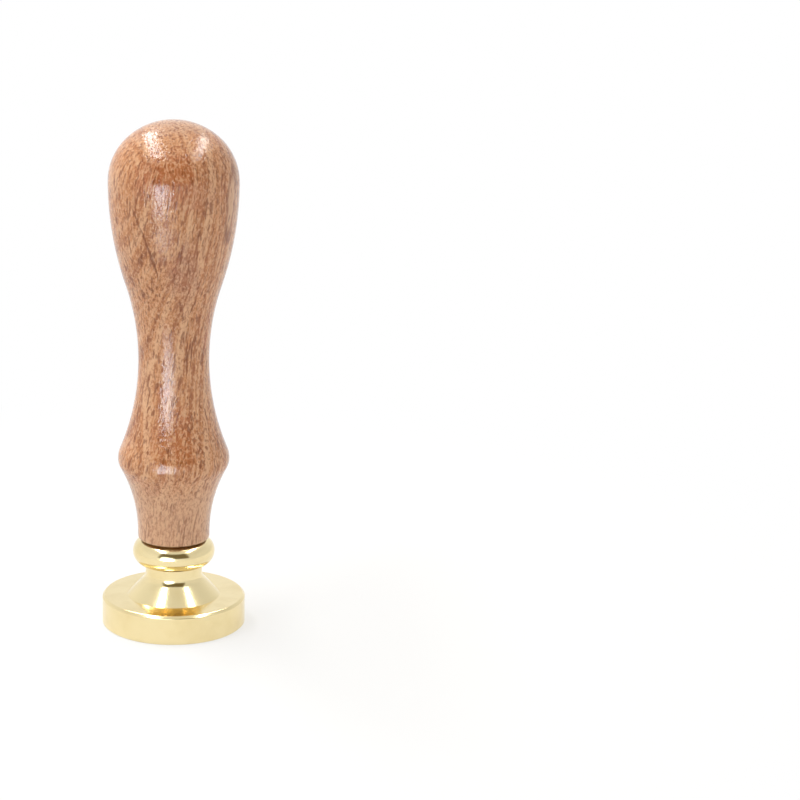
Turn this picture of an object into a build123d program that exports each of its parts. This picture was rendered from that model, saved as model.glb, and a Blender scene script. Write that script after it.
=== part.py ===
from build123d import *

import os
from math import atan, degrees, radians, sin

# Wax seal stamp: a turned wooden handle that screws onto an engraved brass head.
# The origin is the middle of the engraved face, which the stamp stands on, and Z runs up its axis.
# Lengths are in millimetres, angles in degrees, and the sizes below drive everything.

# Seal head, turned from one brass bar: die, cone, neck and bead
die_diameter = 25.0
die_thickness = 5.2
die_rim_fillet = 0.5
die_face_chamfer = 0.25
cone_foot_diameter = 16.3
cone_height = 3.3
neck_diameter = 9.9
neck_cove_radius = 2.0
neck_height = 2.3
bead_diameter = 14.3
bead_height = 4.7

# Engraving in the die's face: ribbed petals with leaves between them, in a ring of dimples and a border
engraving_depth = 0.7
engraving_draft = 12.0
border_diameter = 21.8
border_width = 0.6
dimple_circle_diameter = 19.4
dimple_diameter = 0.9
dimple_count = 32
petal_count = 8
petal_inner_radius = 1.9
petal_outer_radius = 8.4
petal_width = 3.1
petal_rib_width = 0.4
leaf_inner_radius = 6.0
leaf_outer_radius = 8.6
leaf_width = 1.2
heart_diameter = 1.8

# Threaded stud that joins the head and the handle
stud_diameter = 6.0
stud_set_depth = 8.0
stud_projection = 9.5
stud_end_chamfer = 0.6
stud_fit_clearance = 0.02
stud_hole_lead_in = 0.4

# Threaded insert, knurled and bonded into the handle's end
insert_diameter = 9.0
insert_length = 10.0
insert_recess = 0.3
insert_end_chamfer = 0.4
insert_lead_in = 0.5
insert_groove_width = 1.6
insert_groove_depth = 0.5
knurl_count = 30
knurl_depth = 0.3
thread_clearance = 0.05
bond_gap = 0.05

# Handle, turned from one piece of hardwood: end, knop, waist, bulb and crown
handle_end_diameter = 12.5
handle_end_straight = 1.2
handle_end_fillet = 0.6
knop_diameter = 19.3
knop_above_end = 14.6
knop_lower_radius = 3.1
knop_upper_radius = 4.4
waist_diameter = 12.2
waist_above_knop = 17.8
bulb_diameter = 22.3
bulb_above_waist = 30.95
bulb_lower_radius = 56.0
crown_above_bulb = 10.5
stud_hole_diameter = 6.8
stud_tip_room = 3.0

# Values that several pieces share
lead_in_angle = 90.0
picking_tolerance = 0.001
cone_top = die_thickness + cone_height
bead_core_radius = (bead_diameter - bead_height) / 2
bead_middle = cone_top + neck_height + bead_height / 2
seat_height = bead_middle + bead_height / 2
stud_base = seat_height - stud_set_depth
insert_base = seat_height + insert_recess


def lens_outline(inner_radius, outer_radius, width):
    """A pointed leaf along X, bounded by two arcs that meet at its tips."""
    middle = (inner_radius + outer_radius) / 2
    ThreePointArc((inner_radius, 0), (middle, -width / 2), (outer_radius, 0))
    ThreePointArc((outer_radius, 0), (middle, width / 2), (inner_radius, 0))


def swelling(low, high, low_radius=None, high_radius=None):
    """Two tangent arcs of a turned outline that run parallel to the axis at both of their ends."""
    rise = high[1] - low[1]
    step = high[0] - low[0]
    both_radii = (rise**2 + step**2) / (2 * abs(step))
    turn = 2 * degrees(atan(step / rise))
    if low_radius is None:
        low_radius = both_radii - high_radius
    leaving = JernArc(low, (0, 1), low_radius, -turn)
    JernArc(leaving @ 1, leaving % 1, both_radii - low_radius, turn)


def domed_end(side, top):
    """Two tangent arcs of 45 degrees that turn an outline from parallel to the axis to square to it."""
    reach = side[0]
    rise = top[1] - side[1]
    ahead = sin(radians(45))
    aside = 1 - ahead
    side_radius = (rise * ahead - reach * aside) / (ahead - aside)
    top_radius = (reach * ahead - rise * aside) / (ahead - aside)
    shoulder = JernArc(side, (0, 1), side_radius, 45)
    JernArc(shoulder @ 1, shoulder % 1, top_radius, 45)


def circles_at(piece, height):
    """The circular edges of a piece at one height, from the smallest to the largest."""
    circles = piece.edges().filter_by(GeomType.CIRCLE)
    level = circles.filter_by_position(Axis.Z, height - picking_tolerance, height + picking_tolerance)
    return level.sort_by(SortBy.RADIUS)


# Engraving, drawn on the die's face

with BuildSketch() as petal:
    with BuildLine():
        lens_outline(petal_inner_radius, petal_outer_radius, petal_width)
    make_face()
    Rectangle(2 * petal_outer_radius, petal_rib_width, mode=Mode.SUBTRACT)

with BuildSketch() as leaf:
    with BuildLine():
        lens_outline(leaf_inner_radius, leaf_outer_radius, leaf_width)
    make_face()

with BuildSketch() as rosette:
    with PolarLocations(0, petal_count):
        add(petal.sketch)
    with PolarLocations(0, petal_count, start_angle=180 / petal_count):
        add(leaf.sketch)

# Seal head

with BuildPart() as seal_head:
    with BuildSketch(Plane.XZ) as head_outline:
        with BuildLine():
            Polyline(
                (0, 0),
                (die_diameter / 2, 0),
                (die_diameter / 2, die_thickness),
                (cone_foot_diameter / 2, die_thickness),
                (neck_diameter / 2, cone_top),
                (neck_diameter / 2, bead_middle),
                (bead_core_radius, bead_middle),
                (bead_core_radius, seat_height),
                (0, seat_height),
                close=True,
            )
        make_face()
        with Locations((bead_core_radius, bead_middle)):
            Circle(bead_height / 2)
    revolve(axis=Axis.Z)
    fillet(circles_at(seal_head, cone_top), neck_cove_radius)
    fillet(circles_at(seal_head, die_thickness)[-1], die_rim_fillet)
    chamfer(circles_at(seal_head, 0), die_face_chamfer)
    with Locations((0, 0, seat_height)):
        stud_hole_radius = stud_diameter / 2 + stud_fit_clearance
        CounterSinkHole(stud_hole_radius, stud_hole_radius + stud_hole_lead_in, stud_set_depth, lead_in_angle)
    with BuildSketch(Plane.XZ):
        with Locations((border_diameter / 2, 0)):
            Trapezoid(border_width, engraving_depth, 90 - engraving_draft, align=(Align.CENTER, Align.MIN))
    revolve(axis=Axis.Z, mode=Mode.SUBTRACT)
    extrude(rosette.sketch, amount=engraving_depth, taper=engraving_draft, mode=Mode.SUBTRACT)
    with Locations(Plane.XY.rotated((180, 0, 0))):
        Hole(heart_diameter / 2, engraving_depth)
        with PolarLocations(dimple_circle_diameter / 2, dimple_count):
            Hole(dimple_diameter / 2, engraving_depth)
seal_head.part.label = "seal_head"

# Threaded stud, seated on the floor of the head's hole

with BuildPart() as threaded_stud:
    with BuildSketch(Plane.XY.offset(stud_base)):
        Circle(stud_diameter / 2)
    extrude(amount=stud_set_depth + stud_projection)
    chamfer(threaded_stud.edges().filter_by(GeomType.CIRCLE), stud_end_chamfer)
threaded_stud.part.label = "threaded_stud"

# Threaded insert, seated on the shoulder of the handle's counterbore

with BuildPart() as threaded_insert:
    with BuildSketch(Plane.XY.offset(insert_base)):
        Circle(insert_diameter / 2)
    extrude(amount=insert_length)
    chamfer(threaded_insert.edges().filter_by(GeomType.CIRCLE), insert_end_chamfer)
    with BuildSketch(Plane.XY.offset(insert_base)):
        with PolarLocations(insert_diameter / 2, knurl_count):
            RegularPolygon(radius=knurl_depth, side_count=4)
    extrude(amount=insert_length, mode=Mode.SUBTRACT)
    with BuildSketch(Plane.XY.offset(insert_base + (insert_length - insert_groove_width) / 2)):
        Circle(insert_diameter / 2 + bond_gap)
        Circle(insert_diameter / 2 - insert_groove_depth, mode=Mode.SUBTRACT)
    extrude(amount=insert_groove_width, mode=Mode.SUBTRACT)
    with Locations(Plane((0, 0, insert_base), z_dir=(0, 0, -1))):
        thread_radius = stud_diameter / 2 + thread_clearance
        CounterSinkHole(thread_radius, thread_radius + insert_lead_in, insert_length, lead_in_angle)
threaded_insert.part.label = "threaded_insert"

# Handle

with BuildPart() as handle:
    with BuildSketch(Plane.XZ) as handle_outline:
        end = (handle_end_diameter / 2, seat_height + handle_end_straight)
        knop = (knop_diameter / 2, seat_height + knop_above_end)
        waist = (waist_diameter / 2, knop[1] + waist_above_knop)
        bulb = (bulb_diameter / 2, waist[1] + bulb_above_waist)
        crown = (0, bulb[1] + crown_above_bulb)
        with BuildLine():
            Polyline(crown, (0, seat_height), (end[0], seat_height), end)
            swelling(end, knop, high_radius=knop_lower_radius)
            swelling(knop, waist, low_radius=knop_upper_radius)
            swelling(waist, bulb, high_radius=bulb_lower_radius)
            domed_end(bulb, crown)
        make_face()
    revolve(axis=Axis.Z)
    fillet(circles_at(handle, seat_height), handle_end_fillet)
    with Locations(Plane((0, 0, seat_height), z_dir=(0, 0, -1))):
        CounterBoreHole(
            stud_hole_diameter / 2,
            insert_diameter / 2 + bond_gap,
            insert_recess + insert_length,
            insert_recess + insert_length + stud_tip_room,
        )
handle.part.label = "handle"

# One file for each piece

os.makedirs("parts", exist_ok=True)
for piece in (seal_head, threaded_stud, threaded_insert, handle):
    export_step(piece.part, f"parts/{piece.part.label}.step")
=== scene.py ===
from math import asin, atan, atan2, ceil, cos, degrees, hypot, pi, radians, sin, tan

import bmesh
import bpy
from mathutils import Matrix, Vector


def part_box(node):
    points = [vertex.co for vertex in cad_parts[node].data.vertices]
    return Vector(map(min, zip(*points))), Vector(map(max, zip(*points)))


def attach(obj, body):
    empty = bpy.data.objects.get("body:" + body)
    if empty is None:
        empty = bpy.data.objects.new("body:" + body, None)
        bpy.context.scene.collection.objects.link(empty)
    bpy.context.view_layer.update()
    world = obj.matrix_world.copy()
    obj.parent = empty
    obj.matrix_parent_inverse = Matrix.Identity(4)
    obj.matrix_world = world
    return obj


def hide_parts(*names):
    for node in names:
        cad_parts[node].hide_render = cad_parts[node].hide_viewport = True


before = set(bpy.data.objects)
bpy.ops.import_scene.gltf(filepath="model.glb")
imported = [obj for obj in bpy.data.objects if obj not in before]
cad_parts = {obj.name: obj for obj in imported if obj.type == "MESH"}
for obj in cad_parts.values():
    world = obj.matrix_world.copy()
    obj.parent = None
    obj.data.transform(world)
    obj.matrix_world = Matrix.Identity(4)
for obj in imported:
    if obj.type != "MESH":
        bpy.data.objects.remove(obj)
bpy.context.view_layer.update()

# Wax seal stamp: a turned and lacquered hardwood handle, screwed onto an engraved brass head.
# Sizes are in millimetres and angles in degrees. MM turns a size into the scene's metres.
MM = 0.001
head_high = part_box("seal_head")[1] / MM
stud_low, stud_high = (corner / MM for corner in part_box("threaded_stud"))
insert_low, insert_high = (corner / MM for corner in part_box("threaded_insert"))
handle_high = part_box("handle")[1] / MM
seat_height = head_high.z

# Handle: end, knop, waist, bulb and crown
handle_end_radius = 6.25
handle_end_straight = 1.2
handle_end_fillet = 0.6
knop_radius = 9.65
knop_height = seat_height + 14.6
knop_lower_radius = 3.1
knop_upper_radius = 4.4
waist_radius = 6.1
waist_height = knop_height + 17.8
bulb_radius = handle_high.x
bulb_height = waist_height + 30.95
bulb_lower_radius = 56.0
insert_seat_radius = 4.55
stud_hole_radius = 3.4
stud_hole_top = insert_high.z + 3.0

# Seal head: die, cone, neck and bead
die_radius = head_high.x
die_thickness = 5.2
die_rim_fillet = 0.5
die_rim_bend = 0.2
die_face_chamfer = 0.25
engraved_radius = 11.2
engraving_depth = 0.7
land_start = 11.4
cone_foot_radius = 8.15
cone_top = die_thickness + 3.3
neck_radius = 4.95
neck_cove = 2.0
bead_base = cone_top + 2.3
bead_section = (seat_height - bead_base) / 2
bead_core_radius = 4.8
head_hole_radius = 3.02
head_hole_lead_in = 0.4

# Threaded stud and insert, which share a metric thread
thread_pitch = 1.0
thread_crest = stud_high.x
thread_root = thread_crest - 0.6
thread_flat = 0.12
thread_clearance = 0.05
stud_end_chamfer = 0.6
insert_radius = 4.5
insert_end_chamfer = 0.4
insert_groove_width = 1.6
insert_groove_depth = 0.5
insert_lead_in = 0.5
knurl_count = 30
knurl_depth = 0.3
knurl_segments = 4

# Fineness of the meshes
turned_segments = 160
thread_segments = 64
arc_step = 3.0
longest_step = 0.8
weld_distance = 0.0005
engraving_slack = 0.05
sharp_angle = 32.0


class TurnedOutline:
    """Half of a turned section, drawn by walking along it: X is its radius and Z its height."""

    def __init__(self, radius, height, heading):
        self.bm = bmesh.new()
        self.vert = self.bm.verts.new((radius, 0, height))
        self.heading = radians(heading)

    def turn(self, angle):
        """Changes the heading at a sharp corner, to the left where the angle is positive."""
        self.heading += radians(angle)

    def straight(self, length):
        """Walks straight on."""
        step = Vector((cos(self.heading), 0, sin(self.heading))) * length
        self.vert = bmesh.ops.extrude_vert_indiv(self.bm, verts=[self.vert])["verts"][0]
        self.vert.co += step

    def bend(self, radius, angle):
        """Walks along an arc, to the left where the angle is positive."""
        side = 1 if angle > 0 else -1
        centre = self.vert.co + Vector((-sin(self.heading), 0, cos(self.heading))) * radius * side
        steps = max(ceil(abs(angle) / arc_step), ceil(radians(abs(angle)) * radius / longest_step))
        spun = bmesh.ops.spin(
            self.bm, geom=[self.vert], cent=centre, axis=(0, -1, 0), angle=radians(angle), steps=steps
        )
        self.vert = next(item for item in spun["geom_last"] if isinstance(item, bmesh.types.BMVert))
        self.heading += radians(angle)

    def spun(self, segments=turned_segments):
        """Turns the outline about Z into a closed skin and hands over its bmesh."""
        bm = self.bm
        bmesh.ops.spin(
            bm,
            geom=bm.verts[:] + bm.edges[:],
            cent=(0, 0, 0),
            axis=(0, 0, 1),
            angle=2 * pi,
            steps=segments,
            use_merge=True,
        )
        bmesh.ops.remove_doubles(bm, verts=bm.verts, dist=weld_distance)
        bmesh.ops.recalc_face_normals(bm, faces=bm.faces)
        return bm


def swelling(outline, start, end, start_radius=None, end_radius=None):
    """Two opposite arcs that carry an outline from one station to the next, along the axis at both."""
    fall = start[1] - end[1]
    step = end[0] - start[0]
    both_radii = (fall**2 + step**2) / (2 * abs(step))
    angle = 2 * degrees(atan(step / fall))
    if start_radius is None:
        start_radius = both_radii - end_radius
    outline.bend(start_radius, angle)
    outline.bend(both_radii - start_radius, -angle)


def finished_piece(bm, name, material, body, slot, *nodes):
    """Makes a piece of a bmesh drawn in millimetres, which rides on a body and stands for CAD nodes."""
    bmesh.ops.scale(bm, vec=(MM, MM, MM), verts=bm.verts)
    mesh = bpy.data.meshes.new(name)
    bm.to_mesh(mesh)
    bm.free()
    mesh.shade_smooth()
    mesh.set_sharp_from_angle(angle=radians(sharp_angle))
    mesh.materials.append(material)
    piece = bpy.data.objects.new(name, mesh)
    bpy.context.scene.collection.objects.link(piece)
    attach(piece, body)
    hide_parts(*nodes)


def linear(hex_colour):
    """A linear colour from an sRGB hex value."""
    channels = [int(hex_colour[i : i + 2], 16) / 255 for i in (1, 3, 5)]
    return [c / 12.92 if c <= 0.04045 else ((c + 0.055) / 1.055) ** 2.4 for c in channels] + [1.0]


def add_node(tree, kind, inputs=None, **settings):
    """Adds a shader node. Its inputs are constants or links, by name, or by number where names repeat."""
    made = tree.nodes.new("ShaderNode" + kind)
    for name, value in settings.items():
        setattr(made, name, value)
    for name, value in (inputs or {}).items():
        if isinstance(value, bpy.types.NodeSocket):
            tree.links.new(value, made.inputs[name])
        else:
            made.inputs[name].default_value = value
    return made


def new_material(name):
    """An empty node material and its tree."""
    material = bpy.data.materials.new(name)
    material.use_nodes = True
    material.node_tree.nodes.clear()
    return material, material.node_tree


# Lacquered hardwood: turned from a quarter-sawn blank, so growth layers make stripes up its front, among
# patches of reddish and mauve heartwood. Short brown pores and pale flecks run up the leaning grain, with
# one long dark pore and one pale stripe. The wood is tinted greyer towards the crown, and paler and
# pinker towards the foot. A dark band along the foot's edge is painted shade where the wood meets the brass.
# Gloss lacquer that sinks into the pores breaks up the reflections of the lamps.
# The finest patterns are drawn coarser than real pores and fibres, which are too fine to show.
grain_lean = (0.0, -8.0, 0.0)
grain_wave_length = (7.0, 7.0, 26.0)
grain_wave_height = 1.1
grain_wave_octaves = 1.5
pith_place = (52.0, 20.0, 0.0)
layer_spacing = 1.5
layer_octaves = 2.0
wood_patterns = (
    # name, size across the grain, size along it, octaves, twist
    ("figure", 5.0, 11.0, 3.0, 0.5),
    ("speckle", 0.36, 0.6, 2.0, 0.6),
    ("fibre", 0.36, 2.4, 2.0, 0.2),
    ("pore", 0.48, 2.0, 1.0, 0.0),
    ("line", 0.70, 9.0, 1.0, 0.3),
    ("fleck", 0.36, 0.8, 1.0, 0.5),
)
wood_zones = (
    # name, centre, reach in X, Y and Z, lean about Y, raggedness
    ("upper_heart", (-1.0, -11.0, 81.0), (7.5, 6.0, 6.5), 0.0, 1.0),
    ("middle_heart", (1.5, -9.5, 64.5), (4.6, 6.0, 9.0), -12.0, 1.0),
    ("lower_heart", (0.0, -9.0, 36.5), (5.0, 6.0, 8.0), 0.0, 1.0),
    ("side_stripe", (9.2, -5.5, 76.3), (0.75, 6.0, 5.8), 6.0, 0.45),
    ("long_pore", (-4.0, -9.8, 68.0), (0.26, 6.0, 9.0), -20.7, 1.0),
    ("crown", (0.0, 0.0, 90.5), (10.5, 10.5, 5.5), 0.0, 1.0),
)
zone_raggedness = 1.6
zone_speckle = 1.4
wood_tan = "#c88a5a"
wood_pale = "#ddaf87"
wood_pink = "#d2a683"
wood_grey = "#bd9a80"
wood_red = "#b0603c"
wood_mauve = "#a5705a"
wood_brown = "#9a5b34"
wood_pore = "#763a17"
# A dark brown painted as shade along the foot's edge, where the wood meets the brass
painted_seam_shade = "#5b3419"
wood_layers = (
    # pattern, where it starts, where it is full, strength, colour
    ("layer", 0.48, 0.62, 0.60, wood_pale),
    ("layer", 0.45, 0.33, 0.60, wood_brown),
    ("figure", 0.54, 0.70, 0.45, wood_red),
    ("upper_heart", 1.0, 0.35, 0.62, wood_red),
    ("middle_heart", 1.0, 0.35, 0.56, wood_mauve),
    ("lower_heart", 1.0, 0.35, 0.50, wood_red),
    ("crown", 1.0, 0.3, 0.75, wood_grey),
    ("end", 0.0, 1.0, 0.75, wood_pink),
    ("speckle", 0.52, 0.64, 0.60, wood_pale),
    ("speckle", 0.48, 0.36, 0.60, wood_brown),
    ("fibre", 0.54, 0.68, 0.50, wood_pale),
    ("fibre", 0.46, 0.32, 0.60, wood_brown),
    ("side_stripe", 1.30, 1.05, 0.50, wood_pore),
    ("side_stripe", 0.90, 0.60, 0.75, wood_pale),
    ("pore", 0.58, 0.68, 0.62, wood_pore),
    ("line", 0.63, 0.72, 0.65, wood_pore),
    ("long_pore", 1.0, 0.4, 0.75, wood_pore),
    ("end", 0.0, 1.0, 0.25, wood_pink),
    # The last layer is painted shade along the foot's edge, next to the brass
    ("seam_shade", 0.0, 1.0, 0.80, painted_seam_shade),
)
# The foot's paler, pinker tint is full up to this height above the seat, and fades out by the knop
foot_tint_reach = 7.3
# How far up the foot the painted shade reaches, and where it is full
seam_shade_reach = 0.4
seam_shade_full_reach = 0.13
lacquer_depth = 0.05
pore_edge = 0.50
pore_middle = 0.68
pore_sink = 0.4


def lacquered_hardwood():
    material, tree = new_material("lacquered_hardwood")
    place = add_node(tree, "TexCoord").outputs["Object"]
    size = add_node(tree, "VectorMath", {0: place, 1: [1 / MM] * 3}, operation="MULTIPLY").outputs[0]
    height = add_node(tree, "SeparateXYZ", {0: size}).outputs["Z"]

    # The grain waves and leans. The patterns follow both, the zones only the waves, and the ends neither
    waves = [1 / length for length in grain_wave_length]
    wave_place = add_node(tree, "VectorMath", {0: size, 1: waves}, operation="MULTIPLY").outputs[0]
    wave = add_node(
        tree, "TexNoise", {"Vector": wave_place, "Scale": 1.0, "Detail": grain_wave_octaves}
    ).outputs["Color"]
    centred = add_node(tree, "VectorMath", {0: wave, 1: [0.5] * 3}, operation="SUBTRACT").outputs[0]
    push = [2 * grain_wave_height, 2 * grain_wave_height, 0]
    waved = add_node(
        tree, "VectorMath", {0: centred, 1: push, 2: size}, operation="MULTIPLY_ADD"
    ).outputs[0]
    lean = [radians(angle) for angle in grain_lean]
    grain = add_node(tree, "Mapping", {"Vector": waved, "Rotation": lean}).outputs[0]

    patterns = {}
    from_pith = add_node(tree, "VectorMath", {0: grain, 1: pith_place}, operation="SUBTRACT").outputs[0]
    level = add_node(tree, "VectorMath", {0: from_pith, 1: [1, 1, 0]}, operation="MULTIPLY").outputs[0]
    distance = add_node(tree, "VectorMath", {0: level}, operation="LENGTH").outputs["Value"]
    patterns["layer"] = add_node(
        tree,
        "TexNoise",
        {"W": distance, "Scale": 1 / layer_spacing, "Detail": layer_octaves},
        noise_dimensions="1D",
    ).outputs[0]
    patterns["end"] = add_node(
        tree,
        "MapRange",
        {"Value": height, "From Min": knop_height, "From Max": seat_height + foot_tint_reach},
    ).outputs[0]
    # Painted shade: darkest next to the brass, fading out a little way up the foot
    patterns["seam_shade"] = add_node(
        tree,
        "MapRange",
        {"Value": height, "From Min": seat_height + seam_shade_reach, "From Max": seat_height + seam_shade_full_reach},
    ).outputs[0]
    for name, across, along, octaves, twist in wood_patterns:
        stretch = [1 / across, 1 / across, 1 / along]
        cells = add_node(tree, "VectorMath", {0: grain, 1: stretch}, operation="MULTIPLY").outputs[0]
        patterns[name] = add_node(
            tree, "TexNoise", {"Vector": cells, "Scale": 1.0, "Detail": octaves, "Distortion": twist}
        ).outputs[0]

    # The zones' borders are broken up by bays of the figure and by dots of the fibre
    bays = add_node(
        tree,
        "MapRange",
        {"Value": patterns["figure"], "To Min": -zone_raggedness / 2, "To Max": zone_raggedness / 2},
    ).outputs[0]
    dots = add_node(
        tree,
        "MapRange",
        {"Value": patterns["fibre"], "To Min": -zone_speckle / 2, "To Max": zone_speckle / 2},
    ).outputs[0]
    ragged = add_node(tree, "Math", {0: bays, 1: dots}, operation="ADD").outputs[0]
    for name, centre, reach, zone_lean, raggedness in wood_zones:
        turned = [0, radians(zone_lean), 0]
        spot = add_node(
            tree,
            "Mapping",
            {"Vector": waved, "Location": centre, "Rotation": turned, "Scale": reach},
            vector_type="TEXTURE",
        ).outputs[0]
        from_centre = add_node(tree, "VectorMath", {0: spot}, operation="LENGTH").outputs["Value"]
        patterns[name] = add_node(
            tree, "Math", {0: ragged, 1: raggedness, 2: from_centre}, operation="MULTIPLY_ADD"
        ).outputs[0]

    colour = linear(wood_tan)
    for name, start, full, strength, tint in wood_layers:
        amount = add_node(
            tree,
            "MapRange",
            {"Value": patterns[name], "From Min": start, "From Max": full, "To Max": strength},
            interpolation_type="SMOOTHSTEP",
        ).outputs[0]
        colour = add_node(
            tree, "Mix", {0: amount, 6: colour, 7: linear(tint)}, data_type="RGBA"
        ).outputs[2]

    sunk = add_node(
        tree,
        "MapRange",
        {
            "Value": patterns["pore"],
            "From Min": pore_edge,
            "From Max": pore_middle,
            "To Min": pore_sink,
            "To Max": 0.0,
        },
        interpolation_type="SMOOTHSTEP",
    ).outputs[0]
    surface = add_node(tree, "Math", {0: patterns["fleck"], 1: sunk}, operation="ADD").outputs[0]
    lacquer = add_node(tree, "Bump", {"Distance": lacquer_depth * MM, "Height": surface}).outputs[0]
    shader = add_node(
        tree,
        "BsdfPrincipled",
        {
            "Base Color": colour,
            "Roughness": 0.5,
            "Specular IOR Level": 0.0,
            "Coat Weight": 1.0,
            "Coat Roughness": 0.10,
            "Coat Normal": lacquer,
        },
    )
    add_node(tree, "OutputMaterial", {"Surface": shader.outputs[0]})
    return material


# Polished brass: turned from bar and buffed, so it mirrors its surroundings through faint rings left by the
# turning tool, with slightly duller clouds where it has been handled. The insert is left as machined.
# The rings are wider apart than a tool really leaves them, which would be too fine to show.
brass_colour = "#f2e0af"
brass_handled = "#ecd8a4"
polished_roughness = 0.15
machined_roughness = 0.22
handled_roughness = 0.03
handling_mark_size = 5.0
handling_edge = 0.45
handling_middle = 0.70
tool_mark_spacing = 0.3
tool_mark_depth = 0.01
tool_mark_strength = 0.02


def turned_brass(name, roughness):
    material, tree = new_material(name)
    place = add_node(tree, "TexCoord").outputs["Object"]
    size = add_node(tree, "VectorMath", {0: place, 1: [1 / MM] * 3}, operation="MULTIPLY").outputs[0]
    level = add_node(tree, "VectorMath", {0: size, 1: [1, 1, 0]}, operation="MULTIPLY").outputs[0]
    radius = add_node(tree, "VectorMath", {0: level}, operation="LENGTH").outputs["Value"]
    height = add_node(tree, "SeparateXYZ", {0: size}).outputs["Z"]
    along = add_node(tree, "Math", {0: radius, 1: height}, operation="ADD").outputs[0]
    marks = add_node(
        tree, "TexNoise", {"W": along, "Scale": 1 / tool_mark_spacing, "Detail": 2.0}, noise_dimensions="1D"
    ).outputs[0]
    clouds = add_node(
        tree, "TexNoise", {"Vector": size, "Scale": 1 / handling_mark_size, "Detail": 3.0}
    ).outputs[0]
    dulled = add_node(
        tree, "MapRange", {"Value": clouds, "From Min": handling_edge, "From Max": handling_middle}
    ).outputs[0]
    tint = add_node(
        tree, "Mix", {0: dulled, 6: linear(brass_colour), 7: linear(brass_handled)}, data_type="RGBA"
    ).outputs[2]
    rough = add_node(
        tree, "MapRange", {"Value": dulled, "To Min": roughness, "To Max": roughness + handled_roughness}
    ).outputs[0]
    rings = add_node(
        tree, "Bump", {"Strength": tool_mark_strength, "Distance": tool_mark_depth * MM, "Height": marks}
    ).outputs[0]
    shader = add_node(
        tree, "BsdfPrincipled", {"Base Color": tint, "Metallic": 1.0, "Roughness": rough, "Normal": rings}
    )
    add_node(tree, "OutputMaterial", {"Surface": shader.outputs[0]})
    return material


# Zinc-plated steel: a rolled thread under bright plating, with a cool grey sheen and soft cloudy patches.
zinc_bright = "#c9cacb"
zinc_cloudy = "#a7a9ad"
bright_roughness = 0.20
cloudy_roughness = 0.36
plating_cloud_size = 1.6


def zinc_plated_steel():
    material, tree = new_material("zinc_plated_steel")
    place = add_node(tree, "TexCoord").outputs["Object"]
    clouds = add_node(
        tree, "TexNoise", {"Vector": place, "Scale": 1 / (plating_cloud_size * MM), "Detail": 3.0}
    ).outputs[0]
    tint = add_node(
        tree, "Mix", {0: clouds, 6: linear(zinc_bright), 7: linear(zinc_cloudy)}, data_type="RGBA"
    ).outputs[2]
    rough = add_node(
        tree, "MapRange", {"Value": clouds, "To Min": bright_roughness, "To Max": cloudy_roughness}
    ).outputs[0]
    shader = add_node(tree, "BsdfPrincipled", {"Base Color": tint, "Metallic": 1.0, "Roughness": rough})
    add_node(tree, "OutputMaterial", {"Surface": shader.outputs[0]})
    return material


def make_handle():
    """The turned handle, bored at its end for the insert and for the stud's tip."""
    crown_rise = handle_high.z - bulb_height
    ahead = sin(radians(45))
    aside = 1 - ahead
    crown_radius = (bulb_radius * ahead - crown_rise * aside) / (ahead - aside)
    shoulder_radius = (crown_rise * ahead - bulb_radius * aside) / (ahead - aside)
    end = (handle_end_radius, seat_height + handle_end_straight)
    knop = (knop_radius, knop_height)
    waist = (waist_radius, waist_height)
    outline = TurnedOutline(0, handle_high.z, 0)
    outline.bend(crown_radius, -45)
    outline.bend(shoulder_radius, -45)
    swelling(outline, (bulb_radius, bulb_height), waist, start_radius=bulb_lower_radius)
    swelling(outline, waist, knop, end_radius=knop_upper_radius)
    swelling(outline, knop, end, start_radius=knop_lower_radius)
    outline.straight(handle_end_straight - handle_end_fillet)
    outline.bend(handle_end_fillet, -90)
    outline.straight(handle_end_radius - handle_end_fillet - insert_seat_radius)
    outline.turn(-90)
    outline.straight(insert_high.z - seat_height)
    outline.turn(90)
    outline.straight(insert_seat_radius - stud_hole_radius)
    outline.turn(-90)
    outline.straight(stud_hole_top - insert_high.z)
    outline.turn(90)
    outline.straight(stud_hole_radius)
    wood = lacquered_hardwood()
    finished_piece(outline.spun(), "turned_handle", wood, "handle", "lacquered_wood", "handle")


def engraved_face():
    """The engraving of the die's face, taken from the head's own mesh and drawn in millimetres."""
    bm = bmesh.new()
    bm.from_mesh(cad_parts["seal_head"].data)
    bmesh.ops.scale(bm, vec=(1 / MM, 1 / MM, 1 / MM), verts=bm.verts)
    bmesh.ops.remove_doubles(bm, verts=bm.verts, dist=weld_distance)
    outside = [
        vert for vert in bm.verts
        if hypot(vert.co.x, vert.co.y) > engraved_radius + engraving_slack
        or vert.co.z > engraving_depth + engraving_slack
    ]
    bmesh.ops.delete(bm, geom=outside, context="VERTS")
    return bm


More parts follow.
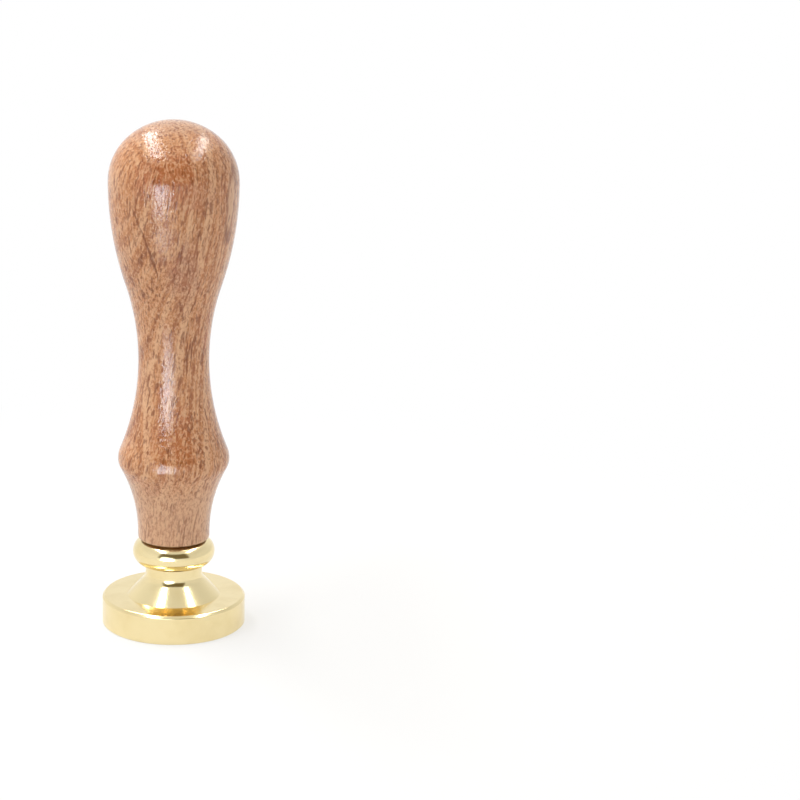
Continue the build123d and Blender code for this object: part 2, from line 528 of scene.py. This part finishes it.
def make_head():
    """The brass head, turned from bar around its engraved face."""
    cone_angle = degrees(atan((cone_top - die_thickness) / (cone_foot_radius - neck_radius)))
    cone_length = hypot(cone_top - die_thickness, cone_foot_radius - neck_radius)
    cove_start = neck_cove * tan(radians(90 - cone_angle) / 2)
    rim_flat = die_rim_fillet - die_rim_bend
    bead_start = degrees(asin((neck_radius - bead_core_radius) / bead_section))
    bead_start_height = bead_base + bead_section * (1 - cos(radians(bead_start)))
    outline = TurnedOutline(land_start, 0, 0)
    outline.straight(die_radius - die_face_chamfer - land_start)
    outline.turn(45)
    outline.straight(hypot(die_face_chamfer, die_face_chamfer))
    outline.turn(45)
    outline.straight(die_thickness - die_face_chamfer - die_rim_fillet)
    outline.bend(die_rim_bend, 45)
    outline.straight(hypot(rim_flat, rim_flat))
    outline.bend(die_rim_bend, 45)
    outline.straight(die_radius - die_rim_fillet - cone_foot_radius)
    outline.turn(-cone_angle)
    outline.straight(cone_length - cove_start)
    outline.bend(neck_cove, cone_angle - 90)
    outline.straight(bead_start_height - cone_top - cove_start)
    outline.turn(bead_start - 90)
    outline.bend(bead_section, 180 - bead_start)
    outline.straight(bead_core_radius - head_hole_radius - head_hole_lead_in)
    outline.turn(45)
    outline.straight(hypot(head_hole_lead_in, head_hole_lead_in))
    outline.turn(45)
    outline.straight(seat_height - head_hole_lead_in - stud_low.z)
    outline.turn(-90)
    outline.straight(head_hole_radius)
    bm = outline.spun()
    face = engraved_face()
    joined = bpy.data.meshes.new("engraved_face")
    face.to_mesh(joined)
    face.free()
    joined.attributes.remove(joined.attributes["custom_normal"])
    bm.from_mesh(joined)
    bpy.data.meshes.remove(joined)
    rims = [edge for edge in bm.edges if edge.is_boundary]
    bmesh.ops.bridge_loops(bm, edges=rims)
    bmesh.ops.recalc_face_normals(bm, faces=bm.faces)
    brass = turned_brass("polished_brass", polished_roughness)
    finished_piece(bm, "engraved_head", brass, "head", "polished_brass", "seal_head")


def thread_skin(low, high, outset=0.0):
    """A right-hand thread's skin between two heights, open at both ends."""
    bm = bmesh.new()
    crest = thread_crest + outset
    root = thread_root + outset
    flank = (thread_pitch - 2 * thread_flat) / 2
    start = low - low % thread_pitch - thread_pitch
    turns = ceil((high - start) / thread_pitch) + 1
    stations = (
        (root, 0),
        (root, thread_flat),
        (crest, thread_flat + flank),
        (crest, 2 * thread_flat + flank),
        (root, thread_pitch),
    )
    verts = [bm.verts.new((radius, 0, start + rise)) for radius, rise in stations]
    edges = [bm.edges.new(pair) for pair in zip(verts, verts[1:])]
    bmesh.ops.spin(
        bm,
        geom=verts + edges,
        cent=(0, 0, 0),
        axis=(0, 0, 1),
        angle=2 * pi * turns,
        dvec=(0, 0, thread_pitch / thread_segments),
        steps=turns * thread_segments,
    )
    bmesh.ops.remove_doubles(bm, verts=bm.verts, dist=weld_distance)
    for height, side in ((low, -1), (high, 1)):
        bmesh.ops.bisect_plane(
            bm,
            geom=bm.verts[:] + bm.edges[:] + bm.faces[:],
            plane_co=(0, 0, height),
            plane_no=(0, 0, side),
            clear_outer=True,
        )
    return bm


def limit_radius(bm, allowed):
    """Moves each point of a skin in or out to the radius that is allowed for it."""
    for vert in bm.verts:
        radius = hypot(vert.co.x, vert.co.y)
        scale = allowed(radius, vert.co.z) / radius
        vert.co.x *= scale
        vert.co.y *= scale


def make_stud():
    """The threaded stud, chamfered at both ends."""
    bm = thread_skin(stud_low.z, stud_high.z)

    def inside_chamfers(radius, height):
        to_end = min(height - stud_low.z, stud_high.z - height)
        return min(radius, thread_crest - stud_end_chamfer + to_end)

    limit_radius(bm, inside_chamfers)
    rims = [edge for edge in bm.edges if edge.is_boundary]
    bmesh.ops.edgeloop_fill(bm, edges=rims)
    bmesh.ops.recalc_face_normals(bm, faces=bm.faces)
    finished_piece(bm, "rolled_stud", zinc_plated_steel(), "head", "plated_steel", "threaded_stud")


def make_insert():
    """The knurled brass insert with its internal thread."""
    groove_low = (insert_low.z + insert_high.z - insert_groove_width) / 2
    outline = TurnedOutline(insert_radius - insert_end_chamfer, insert_low.z, 45)
    outline.straight(hypot(insert_end_chamfer, insert_end_chamfer))
    outline.turn(45)
    outline.straight(groove_low - insert_low.z - insert_end_chamfer)
    outline.turn(90)
    outline.straight(insert_groove_depth)
    outline.turn(-90)
    outline.straight(insert_groove_width)
    outline.turn(-90)
    outline.straight(insert_groove_depth)
    outline.turn(90)
    outline.straight(groove_low - insert_low.z - insert_end_chamfer)
    outline.turn(45)
    outline.straight(hypot(insert_end_chamfer, insert_end_chamfer))
    segments = knurl_segments * knurl_count
    bm = outline.spun(segments)
    grooved = [
        vert for vert in bm.verts
        if hypot(vert.co.x, vert.co.y) > insert_radius - knurl_depth
        and round(segments * atan2(vert.co.y, vert.co.x) / (2 * pi)) % knurl_segments == 0
    ]
    knurled = 1 - knurl_depth / insert_radius
    bmesh.ops.scale(bm, vec=(knurled, knurled, 1), verts=grooved)
    bore = thread_skin(insert_low.z, insert_high.z, thread_clearance)

    def outside_lead_in(radius, height):
        return max(radius, thread_crest + thread_clearance + insert_lead_in - (height - insert_low.z))

    limit_radius(bore, outside_lead_in)
    joined = bpy.data.meshes.new("insert_bore")
    bore.to_mesh(joined)
    bore.free()
    bm.from_mesh(joined)
    bpy.data.meshes.remove(joined)
    for height in (insert_low.z, insert_high.z):
        rims = [
            edge for edge in bm.edges
            if edge.is_boundary and all(abs(vert.co.z - height) < weld_distance for vert in edge.verts)
        ]
        bmesh.ops.bridge_loops(bm, edges=rims)
    bmesh.ops.recalc_face_normals(bm, faces=bm.faces)
    brass = turned_brass("machined_brass", machined_roughness)
    finished_piece(bm, "knurled_insert", brass, "handle", "insert_brass", "threaded_insert")


# Studio, in metres: two long softboxes run front to back overhead, and two small lamps with grids stand
# close in front, turned a little aside. The left softbox's light on matt surfaces is a lamp of its own,
# the fill. A dark screen behind the camera gives the brass its dark reflections.
camera_place = (0.0, -0.4686, 0.1743)
camera_tilt = 74.06
camera_pan = -4.6
camera_lens = 126.5
lamps = (
    # name, centre, point that it faces, level size, upright size, spread, radiance, colour, rays reached
    ("left_softbox", (-0.172, 0.075, 0.42), (0, 0.075, 0.05), 0.51, 0.072, 180, 12, "#ffffff", "glossy"),
    ("left_fill", (-0.172, 0.075, 0.42), (0, 0.075, 0.05), 0.51, 0.085, 180, 9.3, "#ffffff", "diffuse"),
    ("right_softbox", (0.238, 0.075, 0.42), (0, 0.075, 0.05), 0.45, 0.044, 180, 12, "#ffffff", "glossy"),
    ("middle_lamp", (-0.015, -0.06, 0.072), (0.011, -0.004, 0.079), 0.04, 0.03, 42, 11, "#e2f2ff", "glossy"),
    ("low_lamp", (-0.016, -0.06, 0.03), (0.009, -0.004, 0.034), 0.04, 0.04, 66, 9.5, "#e2f2ff", "glossy"),
)
screen_distance = 0.75
screen_low = 0.20
screen_high = 1.05
screen_sides = (-45.0, 45.0)
screen_steps = 24
screen_colour = "#ffe7ad"
screen_glow = 0.165
world_light = 0.74
world_shades = (
    # axis, part of a direction along it where the shade starts, where it is full, how bright that is
    ("Z", 0.3, 0.9, 0.8),
    ("X", 0.3, 0.8, 0.82),
)
floor_size = 6.0
floor_bounce = "#ededed"
shadow_core = 0.042
shadow_radius = 0.14
shadow_catch = "#9e9d9a"
shadow_glow = 0.62


def light_studio():
    """The lamps, sized and placed by what the stamp reflects."""
    for name, centre, faced, level_size, upright_size, spread, radiance, colour, reaches in lamps:
        # A lamp's radiance is its power over four times its area, and a grid gathers more of it on its axis
        half_spread = radians(spread) / 2
        gathered = 1 if spread == 180 else tan(half_spread) / (tan(half_spread) - half_spread)
        lamp = bpy.data.lights.new(name, "AREA")
        lamp.shape = "RECTANGLE"
        lamp.size = level_size
        lamp.size_y = upright_size
        lamp.spread = radians(spread)
        lamp.energy = 4 * radiance * level_size * upright_size / gathered
        lamp.color = linear(colour)[:3]
        thing = bpy.data.objects.new(name, lamp)
        thing.visible_camera = False
        thing.visible_diffuse = reaches == "diffuse"
        thing.visible_glossy = reaches == "glossy"
        thing.location = centre
        thing.rotation_euler = (Vector(centre) - Vector(faced)).to_track_quat("Z", "Y").to_euler()
        bpy.context.scene.collection.objects.link(thing)


def stage_object(bm, name, material):
    """Makes a thing of the studio, which isn't part of the stamp."""
    mesh = bpy.data.meshes.new(name)
    bm.to_mesh(mesh)
    bm.free()
    mesh.materials.append(material)
    thing = bpy.data.objects.new(name, mesh)
    bpy.context.scene.collection.objects.link(thing)
    return thing


def make_screen():
    """A dark curved screen behind the camera that only reflections see."""
    material, tree = new_material("dark_screen")
    glow = add_node(tree, "Emission", {"Color": linear(screen_colour), "Strength": screen_glow}).outputs[0]
    add_node(tree, "OutputMaterial", {"Surface": glow})
    bm = bmesh.new()
    start, end = (radians(angle - 90) for angle in screen_sides)
    side = Vector((cos(start), sin(start), 0)) * screen_distance
    foot = bm.verts.new(side + Vector((0, 0, screen_low)))
    head = bm.verts.new(side + Vector((0, 0, screen_high)))
    edge = bm.edges.new((foot, head))
    bmesh.ops.spin(
        bm,
        geom=[foot, head, edge],
        cent=(0, 0, 0),
        axis=(0, 0, 1),
        angle=end - start,
        steps=screen_steps,
    )
    screen = stage_object(bm, "dark_screen", material)
    screen.visible_camera = False
    screen.visible_diffuse = False
    screen.visible_shadow = False


def seen_directly(tree):
    """1 for the rays of the camera and of mirror and clear surfaces, 0 for diffuse light."""
    path = add_node(tree, "LightPath").outputs
    seen = add_node(
        tree, "Math", {0: path["Is Camera Ray"], 1: path["Is Glossy Ray"]}, operation="MAXIMUM"
    ).outputs[0]
    return add_node(tree, "Math", {0: seen, 1: path["Is Transmission Ray"]}, operation="MAXIMUM").outputs[0]


def make_world():
    """White to the eye and in reflections, with a dimmer ceiling and right side, and softer as a light."""
    world = bpy.data.worlds.new("white_studio")
    world.use_nodes = True
    tree = world.node_tree
    tree.nodes.clear()
    toward = add_node(tree, "TexCoord").outputs["Generated"]
    parts = add_node(tree, "SeparateXYZ", {0: toward}).outputs
    seen = 1.0
    for axis, start, full, shade in world_shades:
        dimmed = add_node(
            tree,
            "MapRange",
            {"Value": parts[axis], "From Min": start, "From Max": full, "To Min": 1.0, "To Max": shade},
        ).outputs[0]
        seen = add_node(tree, "Math", {0: seen, 1: dimmed}, operation="MULTIPLY").outputs[0]
    strength = add_node(
        tree, "MapRange", {"Value": seen_directly(tree), "To Min": world_light, "To Max": seen}
    ).outputs[0]
    background = add_node(tree, "Background", {"Color": [1, 1, 1, 1], "Strength": strength})
    add_node(tree, "OutputWorld", {"Surface": background.outputs[0]})
    bpy.context.scene.world = world


def make_floor():
    """A pale floor that reads as white and keeps the shadow close to the stamp."""
    material, tree = new_material("pale_floor")
    place = add_node(tree, "TexCoord").outputs["Object"]
    from_stamp = add_node(tree, "VectorMath", {0: place}, operation="LENGTH").outputs["Value"]
    near = add_node(
        tree,
        "MapRange",
        {
            "Value": from_stamp,
            "From Min": shadow_core,
            "From Max": shadow_radius,
            "To Min": 1.0,
            "To Max": 0.0,
        },
        interpolation_type="SMOOTHSTEP",
    ).outputs[0]
    glow = add_node(tree, "MapRange", {"Value": near, "To Min": 1.0, "To Max": shadow_glow}).outputs[0]
    catch = add_node(
        tree, "Mix", {0: near, 6: [0, 0, 0, 1], 7: linear(shadow_catch)}, data_type="RGBA"
    ).outputs[2]
    white = add_node(tree, "Emission", {"Color": [1, 1, 1, 1], "Strength": glow}).outputs[0]
    shade = add_node(tree, "BsdfDiffuse", {"Color": catch}).outputs[0]
    shown = add_node(tree, "AddShader", {0: white, 1: shade}).outputs[0]
    bounce = add_node(tree, "BsdfDiffuse", {"Color": linear(floor_bounce)}).outputs[0]
    upper = add_node(tree, "MixShader", {0: seen_directly(tree), 1: bounce, 2: shown}).outputs[0]
    clear = add_node(tree, "BsdfTransparent").outputs[0]
    under = add_node(tree, "NewGeometry").outputs["Backfacing"]
    surface = add_node(tree, "MixShader", {0: under, 1: upper, 2: clear}).outputs[0]
    add_node(tree, "OutputMaterial", {"Surface": surface})
    bm = bmesh.new()
    bmesh.ops.create_grid(bm, x_segments=1, y_segments=1, size=floor_size / 2)
    stage_object(bm, "floor", material)


def make_camera():
    """The photograph's view: a long lens, a little above the stamp and panned to its right."""
    camera = bpy.data.cameras.new("camera")
    camera.lens = camera_lens
    thing = bpy.data.objects.new("camera", camera)
    turn = Matrix.Rotation(radians(camera_tilt), 4, "X") @ Matrix.Rotation(radians(camera_pan), 4, "Y")
    thing.matrix_world = Matrix.Translation(camera_place) @ turn
    bpy.context.scene.collection.objects.link(thing)
    bpy.context.scene.camera = thing


make_handle()
make_head()
make_stud()
make_insert()
light_studio()
make_screen()
make_world()
make_floor()
make_camera()
bpy.context.scene.view_settings.view_transform = "Standard"
